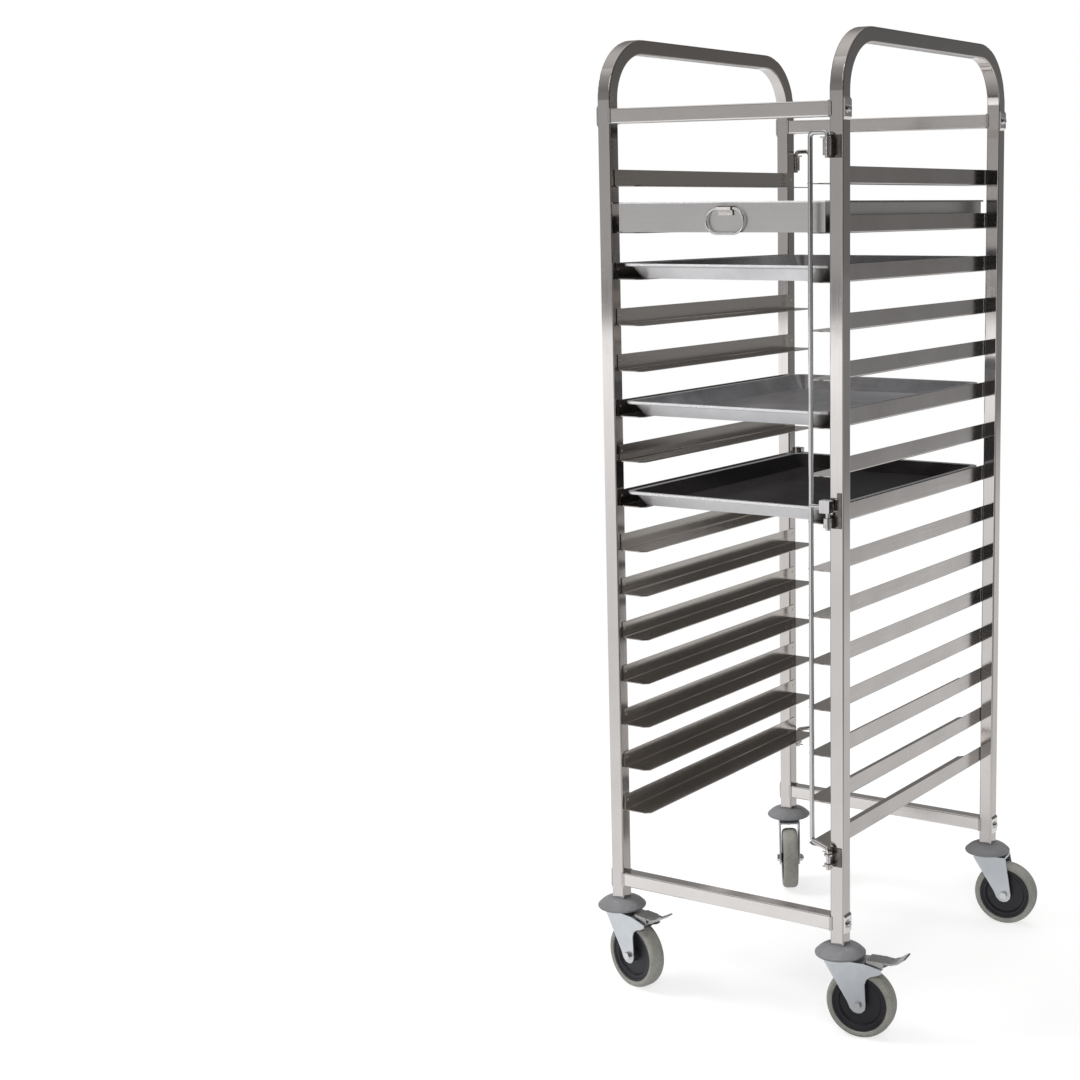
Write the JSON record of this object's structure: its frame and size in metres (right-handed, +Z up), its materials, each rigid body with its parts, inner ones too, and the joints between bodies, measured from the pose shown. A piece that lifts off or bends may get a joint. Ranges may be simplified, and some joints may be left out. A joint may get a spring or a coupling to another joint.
{
  "type": "sheet pan rack",
  "caption": "Tall wheeled tube rack with stacked L runners for sheet pans, push handles, swing-out retaining rods and braked swivel casters.",
  "frame": {"origin": "on the floor, in the middle of the four posts", "axes": "+Z up, X across the width, -Y the front that the pans slide in from"},
  "size_m": [0.6078, 0.681, 1.658],
  "materials": {
    "stainless": "polished stainless tube",
    "runner_steel": "satin stainless sheet",
    "rod_steel": "bright drawn rod",
    "fixings": "satin",
    "zinc": "bright zinc plated pressing",
    "bumper": "matt grey",
    "wheel_core": "moulded charcoal",
    "tyre": "grey non-marking rubber",
    "pedal": "stamped steel",
    "pan_steel": "satin",
    "pan_aluminium": "satin aluminium",
    "pan_black": "non-stick coating on aluminium"
  },
  "bodies": {
    "frame": {"side_frame_left": "stainless", "side_frame_right": "stainless", "cross_bar_top_front": "stainless", "cross_bar_top_rear": "stainless", "cross_bar_bottom_front": "stainless", "cross_bar_bottom_rear": "stainless", "bar_saddles": "stainless", "clamp_plates": "fixings", "bar_end_plugs": "zinc", "corner_bolts": "fixings", "runners_tier_01": "runner_steel", "runners_tier_02": "runner_steel", "runners_tier_03": "runner_steel", "runners_tier_04": "runner_steel", "runners_tier_05": "runner_steel", "runners_tier_06": "runner_steel", "runners_tier_07": "runner_steel", "runners_tier_08": "runner_steel", "runners_tier_09": "runner_steel", "runners_tier_10": "runner_steel", "runners_tier_11": "runner_steel", "runners_tier_12": "runner_steel", "runners_tier_13": "runner_steel", "runners_tier_14": "runner_steel", "runners_tier_15": "runner_steel", "swing_brackets_front": "fixings", "swing_brackets_rear": "fixings", "caster_stems": "zinc", "bumper_front_left": "bumper", "bumper_front_right": "bumper", "bumper_back_right": "bumper", "bumper_back_left": "bumper"},
    "swing_bar_front": {"swing_bar_front": "rod_steel"},
    "swing_bar_rear": {"swing_bar_rear": "rod_steel"},
    "swivel_front_left": {"fork_front_left": "zinc", "axle_front_left": "zinc"},
    "wheel_front_left": {"wheel_core_front_left": "wheel_core", "tyre_front_left": "tyre"},
    "brake_front_left": {"brake_pedal_front_left": "pedal"},
    "swivel_front_right": {"fork_front_right": "zinc", "axle_front_right": "zinc"},
    "wheel_front_right": {"wheel_core_front_right": "wheel_core", "tyre_front_right": "tyre"},
    "brake_front_right": {"brake_pedal_front_right": "pedal"},
    "swivel_back_right": {"fork_back_right": "zinc", "axle_back_right": "zinc"},
    "wheel_back_right": {"wheel_core_back_right": "wheel_core", "tyre_back_right": "tyre"},
    "swivel_back_left": {"fork_back_left": "zinc", "axle_back_left": "zinc"},
    "wheel_back_left": {"wheel_core_back_left": "wheel_core", "tyre_back_left": "tyre"},
    "pan_tier_02": {"deep_pan_tier_02": "pan_steel", "ring_clip": "fixings"},
    "ring": {"ring_handle": "rod_steel"},
    "pan_tier_03": {"sheet_pan_tier_03": "pan_aluminium"},
    "pan_tier_06": {"sheet_pan_tier_06": "pan_aluminium"},
    "pan_tier_08": {"sheet_pan_tier_08": "pan_black"}
  },
  "joints": [
    {"name": "swing_bar_front_turn", "type": "hinge", "parent": "frame", "child": "swing_bar_front", "pos_m": [0.213, -0.321, 0.897], "axis": [0, 0, 1], "range_deg": [0, 180]},
    {"name": "swing_bar_rear_turn", "type": "hinge", "parent": "frame", "child": "swing_bar_rear", "pos_m": [-0.213, 0.321, 0.887], "axis": [0, 0, 1], "range_deg": [0, 180]},
    {"name": "swivel_front_left_turn", "type": "hinge", "parent": "frame", "child": "swivel_front_left", "pos_m": [-0.2225, -0.2975, 0.13], "axis": [0, 0, 1], "continuous": true},
    {"name": "wheel_front_left_spin", "type": "hinge", "parent": "swivel_front_left", "child": "wheel_front_left", "pos_m": [-0.18563, -0.30669, 0.06], "axis": [0.2419, 0.9703, 0], "continuous": true},
    {"name": "brake_front_left_press", "type": "hinge", "parent": "swivel_front_left", "child": "brake_front_left", "pos_m": [-0.15652, -0.31395, 0.124], "axis": [0.2419, 0.9703, 0], "range_deg": [0, 16]},
    {"name": "swivel_front_right_turn", "type": "hinge", "parent": "frame", "child": "swivel_front_right", "pos_m": [0.2225, -0.2975, 0.13], "axis": [0, 0, 1], "continuous": true},
    {"name": "wheel_front_right_spin", "type": "hinge", "parent": "swivel_front_right", "child": "wheel_front_right", "pos_m": [0.26013, -0.29221, 0.06], "axis": [-0.1392, 0.9903, 0], "continuous": true},
    {"name": "brake_front_right_press", "type": "hinge", "parent": "swivel_front_right", "child": "brake_front_right", "pos_m": [0.28984, -0.28804, 0.124], "axis": [-0.1392, 0.9903, 0], "range_deg": [0, 16]},
    {"name": "swivel_back_right_turn", "type": "hinge", "parent": "frame", "child": "swivel_back_right", "pos_m": [0.2225, 0.2975, 0.13], "axis": [0, 0, 1], "continuous": true},
    {"name": "wheel_back_right_spin", "type": "hinge", "parent": "swivel_back_right", "child": "wheel_back_right", "pos_m": [0.26003, 0.30344, 0.06], "axis": [-0.1564, 0.9877, 0], "continuous": true},
    {"name": "swivel_back_left_turn", "type": "hinge", "parent": "frame", "child": "swivel_back_left", "pos_m": [-0.2225, 0.2975, 0.13], "axis": [0, 0, 1], "continuous": true},
    {"name": "wheel_back_left_spin", "type": "hinge", "parent": "swivel_back_left", "child": "wheel_back_left", "pos_m": [-0.2018, 0.26563, 0.06], "axis": [0.8387, 0.5446, 0], "continuous": true},
    {"name": "pan_tier_02_slide", "type": "slide", "parent": "frame", "child": "pan_tier_02", "axis": [0, -1, 0], "range_m": [-0.0145, 0.0085]},
    {"name": "pan_tier_03_slide", "type": "slide", "parent": "frame", "child": "pan_tier_03", "axis": [0, -1, 0], "range_m": [-0.0145, 0.0085]},
    {"name": "pan_tier_06_slide", "type": "slide", "parent": "frame", "child": "pan_tier_06", "axis": [0, -1, 0], "range_m": [-0.0145, 0.0085]},
    {"name": "pan_tier_08_slide", "type": "slide", "parent": "frame", "child": "pan_tier_08", "axis": [0, -1, 0], "range_m": [-0.0145, 0.0085]},
    {"name": "ring_lift", "type": "hinge", "parent": "pan_tier_02", "child": "ring", "pos_m": [0.014, -0.308, 1.3728], "axis": [-1, 0, 0], "range_deg": [0, 100]}
  ]
}
